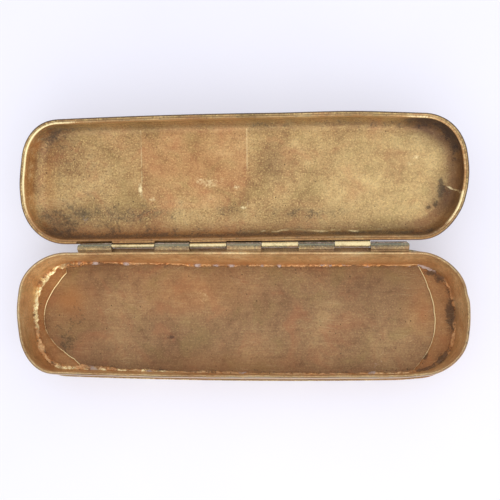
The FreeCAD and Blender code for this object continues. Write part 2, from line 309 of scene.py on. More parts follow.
def warped(points, swells, hinge_gap, share=1.0):
    """The outline's real unevenness, fading out towards the middle of the tray."""
    x, v, around, depth = points[:, 0].copy(), points[:, 1].copy(), points[:, 3], points[:, 4]
    sway = np.zeros(len(points))
    for first, peak, last, amount in swells:
        sway += amount * smooth(first, peak, around) * smooth(last, peak, around)
    pushed_out(points, sway * smooth(12, 2, depth) * share)
    points[:, 1] += hinge_gap(x) * smooth(14, 1.5, v)
    return points


def base_lean(around):
    """How far the base wall's inner face has come in by the time it meets the floor."""
    foot, across, along = stadium(around)
    hinge_side, right, left, front = np.maximum([-along, across, -across, along], 0) ** 2
    lean = hinge_side * (0.5 + 1.2 * smooth(-62, 0, foot)) + right * 1.9 + left * 0.1
    return lean + front * (1.2 - 0.6 * smooth(-40, 40, foot))


# ---- meshes ----

# Each mask stands for real patina and in places also paints light: shade in the first two, highlights in the
# third and fifth, highlights and a reflection in the fourth.
MASKS = ("stain", "grime", "shine", "copper", "ash")


def woven(grid, wrap_rows, wrap_columns=True):
    """Points and quads of a grid of rows. Stations that don't close round the tray get an end cap each."""
    rows, columns = grid.shape[:2]
    faces = []
    for row in range(rows if wrap_rows else rows - 1):
        here, there = row * columns, (row + 1) % rows * columns
        for column in range(columns if wrap_columns else columns - 1):
            beside = (column + 1) % columns
            faces.append((here + column, here + beside, there + beside, there + column))
    if not wrap_columns:
        faces += [[row * columns + column for row in range(rows)] for column in (0, columns - 1)]
    return grid.reshape(-1, grid.shape[2]), faces


def bead_row(q, depth, inward, height):
    """Row of a solder run, further in than the ring at depth."""
    row = pushed_out(ring(q, depth, height), -inward)
    row[:, 4] += inward
    return row


def welded(points, faces):
    """Points that coincide become one, and faces that this collapses lose their spare corners."""
    _, first, index = np.unique(
        np.round(points[:, :3], 3), axis=0, return_index=True, return_inverse=True
    )
    index = index.ravel()
    kept = []
    for face in faces:
        corners = list(dict.fromkeys(int(index[corner]) for corner in face))
        if len(corners) > 2:
            kept.append(corners)
    return points[first], kept


def make_piece(name, points, faces, body, node, material, masks, sharp=40.0, place=None):
    """Mesh piece from millimetre points in its body's own frame, riding on that body.

    place is what the material reads as its position, when that isn't the point itself.
    """
    to_row = lid_to_row if body == "lid" else base_to_row
    mesh = bpy.data.meshes.new(name)
    mesh.from_pydata((to_row(points[:, :3]) * MM).tolist(), [], faces)
    attributes = {key: np.zeros(len(points)) for key in MASKS}
    attributes.update(masks, place=points[:, :3] if place is None else place)
    for key, values in attributes.items():
        vector = np.ndim(values) == 2
        layer = mesh.attributes.new(key, "FLOAT_VECTOR" if vector else "FLOAT", "POINT")
        layer.data.foreach_set("vector" if vector else "value", np.asarray(values, np.float32).ravel())
    shell = bmesh.new()
    shell.from_mesh(mesh)
    bmesh.ops.recalc_face_normals(shell, faces=shell.faces)
    shell.to_mesh(mesh)
    shell.free()
    mesh.shade_smooth()
    mesh.set_sharp_from_angle(angle=math.radians(sharp))
    mesh.materials.append(material)
    piece = bpy.data.objects.new(name, mesh)
    bpy.context.scene.collection.objects.link(piece)
    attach(piece, body)
    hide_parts(node)
    return piece


# ---- materials ----


def tone(red, green, blue):
    """Linear colour from 0-255 screen values."""
    parts = [part / 255 for part in (red, green, blue)]
    linear = [part / 12.92 if part <= 0.04045 else ((part + 0.055) / 1.055) ** 2.4 for part in parts]
    return (*linear, 1.0)


class Shader:
    """Small helper that adds nodes and links them by socket name."""

    def __init__(self, name):
        self.material = bpy.data.materials.new(name)
        self.material.use_nodes = True
        self.tree = self.material.node_tree
        self.tree.nodes.clear()

    def add(self, kind, output=0, settings=None, **inputs):
        node = self.tree.nodes.new(kind)
        for key, value in (settings or {}).items():
            setattr(node, key, value)
        for key, value in inputs.items():
            socket = node.inputs[int(key[1:])] if key[0] == "i" and key[1:].isdigit() else node.inputs[key]
            if isinstance(value, bpy.types.NodeSocket):
                self.tree.links.new(value, socket)
            else:
                socket.default_value = value
        return node.outputs[output]

    def math(self, operation, first, second=0.0, third=0.0, clamp=False):
        settings = {"operation": operation, "use_clamp": clamp}
        return self.add("ShaderNodeMath", 0, settings, i0=first, i1=second, i2=third)

    def times(self, *factors):
        result = factors[0]
        for factor in factors[1:]:
            result = self.math("MULTIPLY", result, factor)
        return result

    def plus(self, *terms):
        result = terms[0]
        for term in terms[1:]:
            result = self.math("ADD", result, term)
        return result

    def spread(self, noise, amount):
        """Noise about its middle, times amount."""
        return self.math("MULTIPLY_ADD", noise, amount, -0.5 * amount)

    def ease(self, value, low, high):
        """Smooth step from 0 at low to 1 at high."""
        settings = {"interpolation_type": "SMOOTHSTEP"}
        limits = {"From Min": low, "From Max": high}
        return self.add("ShaderNodeMapRange", 0, settings, Value=value, **limits)

    def mask(self, name):
        return self.add("ShaderNodeAttribute", 2, {"attribute_name": name})

    def place(self):
        """Position in millimetres in the body's own frame, kept as an attribute of the mesh."""
        return self.add("ShaderNodeAttribute", 1, {"attribute_name": "place"})

    def vector_math(self, operation, first, second=(0, 0, 0)):
        return self.add("ShaderNodeVectorMath", 0, {"operation": operation}, i0=first, i1=second)

    def scaled(self, vector, scale):
        return self.vector_math("MULTIPLY", vector, scale)

    def split(self, vector):
        """The x, y and z of a vector."""
        node = self.tree.nodes.new("ShaderNodeSeparateXYZ")
        self.tree.links.new(vector, node.inputs[0])
        return node.outputs

    def noise(self, vector, size, detail=3.0, roughness=0.55, stretch=(1, 1, 1), warp=0.0):
        vector = self.scaled(vector, tuple(part / size for part in stretch))
        inputs = {"Detail": detail, "Roughness": roughness, "Distortion": warp}
        return self.add("ShaderNodeTexNoise", 0, None, Vector=vector, Scale=1.0, **inputs)

    def scratches(self, vector, degrees, wide, long, share):
        """Thin straight marks at one heading; share sets how few there are."""
        axis = {"rotation_type": "Z_AXIS"}
        heading = math.radians(degrees)
        turned_place = self.add("ShaderNodeVectorRotate", 0, axis, Vector=vector, Angle=heading)
        lines = self.noise(turned_place, wide, 1.0, 0.4, stretch=(wide / long, 1, 1))
        return self.ease(lines, share, share + 0.07)

    def mix(self, share, first, second, mode="MIX"):
        settings = {"data_type": "RGBA", "blend_type": mode}
        return self.add("ShaderNodeMix", 2, settings, i0=share, i6=first, i7=second)

    def tint(self, colour, level):
        """Colour made lighter or darker by a level round 1."""
        grey = self.add("ShaderNodeCombineColor", 0, None, Red=level, Green=level, Blue=level)
        return self.mix(1.0, colour, grey, "MULTIPLY")

    def patchy(self, mask, broken, low, full):
        """A mask broken into patches, and nothing at all where the mask is 0."""
        return self.times(self.ease(self.plus(mask, broken), low, 0.8), self.ease(mask, 0.0, full))

    def above_zero(self, value, sign=1.0):
        return self.math("MAXIMUM", self.times(value, sign), 0.0)

    def ramp(self, value, colours, low=0.34, high=0.66):
        node = self.tree.nodes.new("ShaderNodeValToRGB")
        elements = node.color_ramp.elements
        while len(elements) < len(colours):
            elements.new(1.0)
        for index, colour in enumerate(colours):
            elements[index].position = low + (high - low) * index / (len(colours) - 1)
            elements[index].color = tone(*colour)
        self.tree.links.new(value, node.inputs[0])
        return node.outputs[0]

    def finish(self, **inputs):
        surface = self.add("ShaderNodeBsdfPrincipled", 0, None, **inputs)
        output = self.tree.nodes.new("ShaderNodeOutputMaterial")
        self.tree.links.new(surface, output.inputs["Surface"])
        return self.material


# The dark browns also serve as painted shade, and the pale, bright and lilac-grey colours as painted
# highlights.
DARK_BROWN = tone(52, 37, 26)
NEAR_BLACK = tone(36, 30, 28)
MID_BROWN = tone(96, 66, 44)
COPPER = tone(206, 134, 68)
PALE = tone(214, 190, 130)
BRIGHT = tone(252, 232, 176)
LILAC_GREY = tone(194, 174, 164)
TARNISH = tone(118, 124, 112)


def paper_ghost(s, place, clouds, middle, half):
    """Trace of a rectangle of paper once stuck in the lid: its patch, and its two upright edges."""
    offset = s.vector_math("ABSOLUTE", s.vector_math("SUBTRACT", place, (*middle, 0)))
    beyond_x, beyond_y, _ = s.split(s.vector_math("SUBTRACT", offset, (*half, 0)))
    upper = s.ease(s.split(place)[2], LID_FLOOR - 0.5, LID_FLOOR - 0.2)
    edge = s.math("MAXIMUM", beyond_x, beyond_y)
    patch = s.times(s.ease(s.plus(s.times(edge, -1.0), s.spread(clouds, 3.0)), -0.8, 0.8), upper)
    upright = s.ease(s.times(s.math("ABSOLUTE", beyond_x), -1.0), -0.3, -0.05)
    return patch, s.times(upper, upright, s.ease(s.times(beyond_y, -1.0), 0.0, 0.5))


def brass(name, colours, metal=0.55, rough=0.46, streak=0.16, grain=1.7, relief=1.0, pits=0.7,
          specked=1.0, along=(0.04, 1, 1), ghost=None):
    """Aged sheet brass: clouded patina, fine speckle, drawing streaks, scratches and pits.

    The mesh's masks say where it is stained, grimy, worn bright, reddened (below 0: paler) or ashy (below 0:
    tarnished), and noise breaks them up. In places the masks paint light instead: shade with the stain and
    grime, highlights with the brightness, the paleness and the ash, and a reflection with the reddening.
    tarnished), and noise breaks them up.
    """
    s = Shader(name)
    place = s.place()
    clouds = s.noise(place, 19.0, 4.0, 0.6, warp=0.4)
    mottle = s.noise(place, 3.4, 6.0, 0.66, warp=0.3)
    fine = s.noise(place, 0.75, 4.0, 0.8)
    lines = s.noise(place, 0.5, 3.0, 0.6, stretch=along)
    broken = s.plus(s.spread(mottle, 1.3), s.spread(fine, 1.9))
    stain_and_shade_mask, grime_and_shade_mask, wear_and_highlight_mask, copper_and_sheen_mask, ash_and_sheen_mask = [s.mask(key) for key in MASKS]

    # Sheet colour, then fine light and dark speckle.
    body = s.plus(s.times(clouds, 0.7), s.times(mottle, 0.6), s.spread(lines, streak), -0.15)
    colour = s.tint(s.ramp(body, colours), s.plus(1.0, s.spread(fine, grain)))
    specks = s.noise(place, 0.6, 2.0, 0.7)
    colour = s.mix(s.times(s.ease(specks, 0.55, 0.66), 0.5 * specked), colour, tone(244, 214, 140))
    colour = s.mix(s.times(s.ease(specks, 0.44, 0.32), 0.55 * specked), colour, tone(98, 70, 44))
    hue = s.noise(place, 12.0, 3.0, 0.6, warp=0.6)
    colour = s.mix(s.times(s.ease(hue, 0.5, 0.72), 0.28), colour, tone(186, 112, 74))
    colour = s.mix(s.times(s.ease(hue, 0.5, 0.3), 0.3), colour, tone(150, 132, 78))
    uneven = s.plus(mottle, 0.4)
    colour = s.mix(s.times(s.above_zero(copper_and_sheen_mask), uneven), colour, COPPER)
    colour = s.mix(s.times(s.above_zero(copper_and_sheen_mask, -1.0), uneven), colour, PALE)

    # Smooth brown stain with painted shade, and grime with painted shade that breaks into patches.
    stain = s.math("MULTIPLY", stain_and_shade_mask, s.plus(0.55, s.times(mottle, 0.9)), clamp=True)
    colour = s.mix(stain, colour, MID_BROWN)
    grime = s.patchy(grime_and_shade_mask, broken, 0.35, 0.25)
    colour = s.mix(s.times(grime, 0.66), colour, s.mix(s.ease(mottle, 0.4, 0.62), DARK_BROWN, NEAR_BLACK))

    # Pits, scratches, worn brightness with painted highlights, and ashy residue with painted highlights.
    cells = s.scaled(place, (0.55, 0.55, 0.55))
    away = s.add("ShaderNodeTexVoronoi", 0, None, Vector=cells, Scale=1.0)
    picked = s.add("ShaderNodeTexVoronoi", 1, None, Vector=cells, Scale=1.0)
    chance = s.add("ShaderNodeSeparateColor", 0, None, Color=picked)
    size = s.plus(s.times(chance, 0.26), s.times(mottle, 0.3), -0.25)
    pit = s.times(s.ease(s.math("SUBTRACT", size, away), 0.0, 0.05), pits)
    colour = s.mix(pit, colour, DARK_BROWN)
    marks = s.plus(
        s.scratches(place, 8, 0.32, 9.0, 0.66), s.scratches(place, -27, 0.26, 6.0, 0.68),
        s.scratches(place, 71, 0.24, 5.0, 0.7),
    )
    marks = s.math("MULTIPLY", marks, s.ease(clouds, 0.4, 0.6), clamp=True)
    colour = s.mix(s.times(marks, 0.13), colour, BRIGHT)
    shine = s.patchy(wear_and_highlight_mask, s.times(broken, 0.6), 0.25, 0.2)
    if ghost:
        patch, line = paper_ghost(s, place, clouds, *ghost)
        colour = s.mix(s.times(patch, s.ease(hue, 0.32, 0.56), 0.22), colour, tone(196, 128, 84))
        shine = s.math("MAXIMUM", shine, s.times(line, s.ease(clouds, 0.34, 0.5), 0.34))
    colour = s.mix(shine, colour, BRIGHT)
    ash = s.patchy(ash_and_sheen_mask, s.times(broken, 0.8), 0.3, 0.2)
    colour = s.mix(ash, colour, LILAC_GREY)
    tarnish = s.math("MULTIPLY", s.above_zero(ash_and_sheen_mask, -1.0), s.plus(0.5, fine), clamp=True)
    colour = s.mix(tarnish, colour, TARNISH)

    dull = s.math("ADD", grime, ash, clamp=True)
    metallic = s.times(s.plus(s.times(dull, -0.75), 1.0), metal)
    roughness = s.plus(rough, s.times(dull, 0.25), s.spread(mottle, 0.25), s.spread(fine, 0.2))
    roughness = s.plus(roughness, s.times(shine, -0.14))
    height = s.plus(
        s.times(mottle, 0.04 * relief), s.times(fine, 0.04 * relief), s.times(lines, 0.04 * streak * relief),
        s.times(pit, -0.06 * relief), s.times(marks, -0.01 * relief), s.times(dull, 0.04 * relief),
    )
    normal = s.add("ShaderNodeBump", 0, None, Height=height, Strength=1.0, Distance=MM)
    return s.finish(**{"Base Color": colour, "Metallic": metallic, "Roughness": roughness, "Normal": normal})


FLOOR_BRASS = brass(
    "base_floor_brass", [(134, 98, 66), (149, 113, 77), (160, 124, 85), (175, 140, 96)],
    streak=0.3, specked=0.35, grain=1.3,
)
WALL_BRASS = brass(
    "base_wall_brass", [(184, 140, 94), (214, 174, 120), (232, 196, 140), (248, 220, 166)], streak=0.28,
    specked=0.4,
)
LID_FLOOR_BRASS = brass(
    "lid_floor_brass", [(152, 116, 74), (176, 141, 92), (190, 156, 104), (210, 178, 122)],
    ghost=((-17.2, 28.0), (19.6, 14.4)),
)
LID_WALL_BRASS = brass(
    "lid_wall_brass", [(184, 140, 90), (206, 162, 106), (224, 184, 126), (236, 204, 144)], streak=0.3
)
BAND_BRASS = brass(
    "rim_band_brass", [(132, 104, 66), (158, 130, 84), (180, 150, 98), (206, 178, 124)], streak=0.3
)
HINGE_BRASS = brass(
    "hinge_brass", [(92, 86, 72), (118, 112, 92), (142, 132, 102), (176, 160, 118)], streak=0.4, metal=0.7
)
WIRE_BRASS = brass("hinge_wire", [(120, 100, 70), (160, 134, 90), (196, 166, 112)], streak=0.2)
SOLDER = brass(
    "spelter_solder", [(180, 138, 98), (208, 164, 118), (226, 182, 132), (246, 210, 158)],
    metal=0.75, rough=0.36, streak=0.0, grain=1.6, relief=2.4, pits=1.0, along=(1, 1, 1),
)


# ---- base ----


def base_local(points):
    """Plan coordinates (x, v away from the hinge, height) to the base's frame."""
    out = points.copy()
    out[:, 1] = BACK_Y - points[:, 1]
    return out


def lid_local(points):
    out = points.copy()
    out[:, 1] = LID_BACK + points[:, 1]
    return out


END_CUT = 0.8  # how far the lid's rim is also filed away past the slanted left end of the base's knuckles
EDGE_STEP = 0.06  # width of the slope at each side of a notch
NOTCH_MARKS = [
    edge + side * (KNUCKLE_GAP / 2 + nudge)
    for edge in KNUCKLE_EDGES for side in (-1, 1) for nudge in (0.0, EDGE_STEP)
]
NOTCH_MARKS += [KNUCKLE_EDGES[0] - END_CUT, KNUCKLE_EDGES[0] - END_CUT - EDGE_STEP]


def rolled_out(points):
    """A strip's position measured along it, through it and up it, so that its streaks follow the bend."""
    return np.stack([points[:, 3], points[:, 4] * 0.5, points[:, 2]], axis=1)


def in_knuckles(x, odd):
    """True where x lies in the base's knuckles (odd False) or the lid's (odd True), gaps included."""
    hit = np.zeros(x.shape, bool)
    for index, (first, last) in enumerate(zip(KNUCKLE_EDGES, KNUCKLE_EDGES[1:])):
        if index % 2 == int(odd):
            hit |= (x > first - KNUCKLE_GAP / 2) & (x < last + KNUCKLE_GAP / 2)
    return hit


def plate_grid(top, bottom, lip):
    """Rows over a plate's top from the medial line, round its edge and back underneath."""
    inner, spacing = 2.4, 1.1  # where the even rows begin, and how far apart they are
    q = stations(0.8)
    shares = np.linspace(0, 1, int(HALF / spacing))
    rows = [ring(q, inner, top, share) for share in shares]
    rows += [ring(q, depth, top) for depth in (1.7, 1.0, 0.3)]
    edge = min(0.35, (top - bottom) * 0.4)
    turns = np.linspace(0, math.pi / 2, 5)
    for turn in turns:
        rows.append(ring(q, -lip + edge * (1 - math.sin(turn)), top - edge * (1 - math.cos(turn))))
    for turn in turns:
        rows.append(ring(q, -lip + edge * (1 - math.cos(turn)), bottom + edge * (1 - math.sin(turn))))
    rows += [ring(q, depth, bottom) for depth in (0.6, 1.5)]
    rows += [ring(q, inner, bottom, share) for share in shares[::-1]]
    return np.stack(rows)


def plate_masks(points, upper, inside):
    """The tray's own patina on a plate's upper face. Its outer face is rubbed bright and dirty between."""
    x, y, _, _, depth = points.T
    flat = np.stack([x, y, np.zeros(len(x))], axis=1)
    rubbed = smooth(3.5, 0.5, depth) + 0.6 * smooth(0.0, 0.8, cloud(flat, 26, 91))
    dirt = 0.25 * smooth(0.2, 0.7, cloud(flat, 12, 92)) + 0.2 * hump(depth, 2.2, 1.6)
    outside = {
        "stain": 0.5 - 0.3 * rubbed,
        "grime": 0.3 - 0.15 * rubbed + dirt,
        "shine": 0.24 * smooth(0.6, 0.0, depth) + 0.12 * rubbed,
        "copper": 0.25 * cloud(flat, 20, 93),
        "ash": 0.0,
    }
    return {key: np.where(upper, inside[key], outside[key]) for key in MASKS}


def floor_masks(points):
    """Patina of the base's floor: dirt by the walls, an orange bloom at the left that is partly a painted
    reflection of light, and speckled corners.
    """
    x, y, _, _, depth = points.T
    return {
        "stain": 0.05 + 0.09 * smooth(-40, -60, x) + 0.12 * smooth(8, 2, depth) + blobs(
            x, y, (0.16, 50, 12, 22, 8), (0.12, -30, -18, 40, 5)
        ),
        "grime": 0.12 + 0.25 * smooth(5.5, 2.5, depth) + blobs(
            x, y, (0.42, -66.5, -10, 4, 6.5), (0.22, -60, 0, 9, 8), (0.2, 62, 10, 10, 7),
            (0.8, -26.4, -7.6, 1.3, 1.0),
        ),
        "shine": blobs(x, y, (0.24, -17, 8, 8, 4), (0.34, -8.5, 13, 1.2, 0.5), (0.4, 64.5, -11.3, 1.2, 0.6)),
        # The first two patches are the orange bloom at the left end, partly a painted reflection of light.
        "copper": blobs(
            x, y, (0.42, -65.5, 6.5, 6, 5.5), (0.16, -62, 0, 16, 14), (0.25, -20, 9, 22, 8),
            (0.3, 66, 3, 6, 10), (0.2, -5, -18, 26, 5),
        ),
        "ash": blobs(x, y, (0.3, 48, -17.5, 6, 2.4), (0.25, 52, -12, 3, 2)),
    }


def base_plate():
    points, faces = welded(*woven(plate_grid(FLOOR_Z, plate_low[2], BASE_LIP), wrap_rows=False))
    points = base_local(warped(points, BASE_SWELLS, base_hinge_gap))
    points[:, 0] = np.clip(points[:, 0], plate_low[0], plate_high[0])
    upper = points[:, 2] > FLOOR_Z - 0.01
    under = points[:, 2] < plate_low[2] + 0.01
    inner = smooth(1.5, 6, points[:, 4])
    points[:, 2] += np.where(upper, inner * (0.10 * cloud(points, 26, 3) + 0.03 * cloud(points, 7, 4)), 0)
    points[:, 2] += np.where(under, inner * (0.12 + 0.10 * cloud(points, 30, 5)), 0)
    masks = plate_masks(points, upper, floor_masks(points))
    make_piece(
        "floor_plate", points, faces, "base", "base_plate", FLOOR_BRASS, masks
    )


def base_wall():
    q = stations(0.6, NOTCH_MARKS)
    heights = np.linspace(FLOOR_Z, RIM_Z - 1.2, 12)
    section = [(0.0, height) for height in heights]
    section += [(0.0, RIM_Z - 0.7), (0.02, RIM_Z - 0.35), (0.10, RIM_Z - 0.12), (0.28, RIM_Z - 0.02)]
    section += [(0.5, RIM_Z), (0.74, RIM_Z - 0.06), (0.95, RIM_Z - 0.22)]
    section += [(1.08, RIM_Z - 0.5), (1.10, RIM_Z - 0.9)]
    section += [(BASE_WALL + 0.06, height) for height in heights[::-1]]
    points, faces = woven(np.stack([ring(q, depth, height) for depth, height in section]), wrap_rows=True)
    x, v, z, around, depth = points.T
    # File cuts in the rim behind the lid's knuckles.
    notch = in_knuckles(x, odd=True) & (v < 5) & (z > RIM_Z - 1.8) & (depth < 0.3)
    points[:, 1] = np.where(notch, np.maximum(v, 0.15), v)
    lean = np.where(depth > 0.6, base_lean(around), 0) * smooth(RIM_Z - 1, FLOOR_Z - 1.5, z) ** 1.6
    points = warped(pushed_out(points, -lean), BASE_SWELLS, base_hinge_gap)
    low = smooth(FLOOR_Z + 0.5, FLOOR_Z + 6, z)
    sway = 0.16 * cloud(points * (1, 1, 0, 1, 1), 34, 11)
    sway += 0.05 * cloud(points * (1, 1, 0.5, 1, 1), 9, 12)
    pushed_out(points, low * sway)
    points[:, 2] += smooth(RIM_Z - 2, RIM_Z, z) * (0.05 * cloud(points, 16, 13) - 0.03)
    points[:, 2] -= 0.22 * sum(hump(around, nick, 0.8) for nick in BASE_NICKS) * smooth(RIM_Z - 1, RIM_Z, z)
    points = base_local(points)
    x, y, z, around, depth = points.T
    v = BACK_Y - y
    inside = depth > 0.6
    low = smooth(FLOOR_Z + 5, FLOOR_Z + 0.8, z)
    edge = smooth(RIM_Z - 0.9, RIM_Z - 0.1, z)
    nick = sum(hump(around, place, 0.7) for place in BASE_NICKS) * smooth(RIM_Z - 1, RIM_Z, z)
    outer = 0.4 * (1 - edge) + 0.5 * edge * hump(depth, 0.4, 0.3)
    behind = smooth(2.2, 1.0, v) * smooth(-59.5, -58, x) * smooth(61.5, 60, x)
    edge = edge * (1 - 0.8 * behind)
    stain = 0.06 * low + 0.12 * smooth(50, 74, x) + 0.2 * hump(around, 214, 24) + 0.35 * edge
    grime = np.where(inside, 0.12 + 0.15 * low, 0.3 * smooth(FLOOR_Z + 2, FLOOR_Z, z) + 0.2)
    copper = 0.3 * smooth(RIM_Z - 2, FLOOR_Z + 3, z)
    copper += 0.35 * smooth(FLOOR_Z + 6, FLOOR_Z + 1, z) * smooth(6, 3, v)
    # Along the rim, the dark line at its middle is painted shade, and the bright line inside it and the pale
    # outer edge are painted highlights; all fade behind the knuckles.
    masks = {
        "stain": np.where(inside, stain, outer),
        "grime": grime + 0.6 * nick + 0.9 * edge * hump(depth, 0.36, 0.24),
        "shine": 0.46 * edge * hump(depth, 0.74, 0.24),
        "copper": np.where(inside, copper, 0.0),
        "ash": 0.95 * edge * smooth(0.3, 0.15, depth),
    }
    make_piece(
        "wall_strip", points, faces, "base", "base_wall", WALL_BRASS, masks,
        place=rolled_out(points),
    )


def right_deposit(x, y):
    """Black crust against the solder at the base's right end."""
    return blobs(
        x, y, (0.8, 69.0, 16.2, 2.2, 1.3), (0.8, 72.4, 14.0, 1.8, 1.6), (0.8, 75.3, 1.2, 1.3, 5.6),
        (0.7, 72.2, -15.2, 1.8, 2.0), (0.4, 66, -19, 3, 1),
    )


def base_bead():
    """Lumpy solder run in the corner of the base's floor and wall, heavier at the two ends."""
    q = stations(0.32)
    run = ring(q, BASE_WALL, 0.0)
    x, v = run[:, 0], run[:, 1]
    right, left = smooth(56, 66, x), smooth(56, 66, -x)
    lumpy = smooth(36, 42, v) * hump(x, -55, 15) + 0.7 * left * hump(v, 33, 9)
    wide = (0.8 + 0.5 * right + 1.1 * left + 0.8 * lumpy) * (1 + 0.4 * cloud(run, 5, 31)) + 0.05
    high = (0.6 + 0.6 * right + 0.6 * left) * (1 + 0.4 * cloud(run, 5, 33)) + 0.05
    rows = [ring(q, BASE_WALL - 0.15, FLOOR_Z + lift) for lift in (-0.1, 0.2)]
    start = base_lean(q) * 0.9
    for turn in np.linspace(0, math.pi / 2, 12):
        inward = start + wide * math.sin(turn)
        rows.append(bead_row(q, BASE_WALL, inward, FLOOR_Z + high * math.cos(turn)))
    last = rows[-1].copy()
    last[:, 2] = FLOOR_Z - 0.1
    points, faces = woven(np.stack(rows + [last]), wrap_rows=True)
    free = (points[:, 4] > BASE_WALL + 0.05) & (points[:, 2] > FLOOR_Z + 0.02)
    lump = np.where(free, 0.2 * cloud(points, 1.5, 20, 2) + 0.16 * cloud(points, 0.8, 25, 1), 0)
    pushed_out(points, -lump)
    points[:, 2] += lump
    points = base_local(warped(points, BASE_SWELLS, base_hinge_gap))

    x, y, z, _, _ = points.T
    left, right = smooth(-60, -70, x), smooth(60, 68, x)
    crest = smooth(FLOOR_Z + 0.3, FLOOR_Z + 0.9, z)
    ridge = hump(z, FLOOR_Z + 0.85, 0.6)
    patches = cloud(points, 3, 41)
    # Painted highlights: the bright crest at the left end, the glint along the front and, in the ash, the
    # pale patch on the crest at the right end.
    bright = 0.85 * smooth(-8, 2, y) * smooth(21, 16, y) + 0.34
    front_glint = 0.72 * smooth(-17, -20, y) * smooth(-10, -40, x) * smooth(-0.2, 0.3, patches)
    pitted = left * smooth(0, -6, y) * smooth(0.3, 0.7, cloud(points, 1.2, 46))
    ash = 0.6 * smooth(0.25, 0.6, cloud(points, 3.4, 45)) * (1 - left) * smooth(14, 18, np.abs(y))
    drops = [(0.9, spot, 19.5, 1.5, 2.5) for spot in (-56, -44, -17, -10, -4)]
    masks = {
        "stain": 0.3 * (1 - left) * (1 - crest) + 0.25 * right,
        "grime": 0.26 + 0.4 * pitted + right_deposit(x, y) + 0.25 * smooth(0.1, 0.5, cloud(points, 6, 43)),
        "shine": left * ridge * bright * (0.5 + 0.5 * smooth(-1.0, -0.1, patches)) + front_glint,
        "copper": 0.5 - 0.36 * smooth(-14, -18, y) + 0.3 * cloud(points, 5, 44) - 0.2 * left * crest,
        "ash": ash + blobs(x, y, (0.7, 67.5, 18, 5, 2.5), *drops),
    }
    make_piece(
        "floor_solder", points, faces, "base", "base_solder", SOLDER, masks, sharp=70
    )


def crescent(side, edge_points):
    """Thin plate on the floor between an inner edge and the wall, with a raised edge that is worn and
    carries a painted highlight.

    Gives its points, its faces and 1 for each point on that raised edge.
    """
    centre = side * SPINE
    control = np.array(edge_points, float)
    control[:, 0] -= centre
    turn = np.arctan2(control[:, 1], control[:, 0] * side)
    away = np.hypot(control[:, 0], control[:, 1])
    order = np.argsort(turn)
    columns, beyond = 120, 30
    turns = np.linspace(turn[order][0], turn[order][-1], columns)
    x_dir, y_dir = np.cos(turns) * side, np.sin(turns)
    q = q_of(centre + beyond * x_dir, HALF - beyond * y_dir)
    outer = reach(q, BASE_WALL + 0.3) - base_lean(q) * 0.9
    inner = np.minimum(np.interp(turns, turn[order], away[order]), outer - 1.0)
    thick, edge_wide, sunk = 0.4, 0.8, -0.1
    section = [(0.0, sunk), (0.0, 0.25), (0.06, 0.46), (0.2, 0.54), (0.38, 0.5), (edge_wide, thick)]
    rows = [(inner + step, lift) for step, lift in section]
    for share in np.linspace(0, 1, 9)[1:]:
        rows.append((inner + edge_wide + (outer - inner - edge_wide) * share, thick))
    rows.append((outer, sunk))
    grid = np.stack([
        np.stack([
            centre + x_dir * away_row, y_dir * away_row, np.full(len(turns), FLOOR_Z + lift),
            q, outer - away_row + BASE_WALL,
        ], axis=1)
        for away_row, lift in rows
    ])
    points, faces = woven(grid, wrap_rows=True, wrap_columns=False)
    points[:, 2] += np.where(points[:, 2] > FLOOR_Z + 0.2, 0.04 * cloud(points, 6, 51), 0)
    worn_and_lit = np.repeat([1 if row in (2, 3) else 0 for row in range(len(rows))], len(turns))
    return points, faces, worn_and_lit


def crescents():
    points, faces, worn_and_lit = crescent(-1, [
        (-67.9, 20.6), (-66.9, 16.4), (-70.0, 12.4), (-72.6, 8.2), (-74.3, 4.0), (-74.7, 0.0), (-73.8, -5.0),
        (-71.2, -9.0), (-66.6, -13.0), (-62.5, -15.8), (-58.3, -19.0),
    ])
    y, depth = points[:, 1], points[:, 4]
    # The raised edge is painted brighter on its upper part and at its lower end: partly wear, partly a
    # painted highlight.
    shine = 0.6 * smooth(0, 7, y) + 0.46 + 0.12 * cloud(points, 4, 52) + 0.4 * smooth(-11, -14, y)
    masks = {
        "stain": worn_and_lit * 0.3 * hump(y, -5, 7),
        "grime": 0.5 * smooth(2.6, 1.4, depth) + 0.1,
        "shine": worn_and_lit * shine,
        "copper": np.full(len(points), 0.26),
    }
    make_piece(
        "crescent_left", points, faces, "base", "base_crescent_left", FLOOR_BRASS,
        masks,
    )
    points, faces, worn_and_lit = crescent(1, [
        (64.2, 19.5), (66.3, 15.5), (67.9, 11.0), (69.2, 7.0), (69.9, 2.0), (70.0, -3.0), (69.2, -7.5),
        (67.6, -11.5), (65.2, -15.0), (62.8, -18.0), (61.0, -20.4),
    ])
    x, y, _, _, depth = points.T
    deposit = right_deposit(x, y) + blobs(x, y, (0.7, 66.0, -13.8, 1.2, 2.2))
    masks = {
        "stain": 0.04 + 0.14 * smooth(5, 1.4, depth),
        "grime": 0.4 * smooth(2.6, 1.4, depth) + 0.16 + deposit,
        # The raised edge is painted bright on its upper half: partly wear, partly a painted highlight.
        "shine": worn_and_lit * (0.8 * smooth(-9, -2, y) + 0.5),
        "copper": np.full(len(points), 0.3),
    }
    make_piece(
        "crescent_right", points, faces, "base", "base_crescent_right", FLOOR_BRASS,
        masks,
    )


# ---- lid ----


# Centres of a curved smudge at the right end of the lid's floor, in the lid's frame.
RIGHT_SMUDGE = [(72.2, 22.2), (72.6, 19.8), (71.8, 17.0), (70.2, 14.4), (67.8, 12.8)]


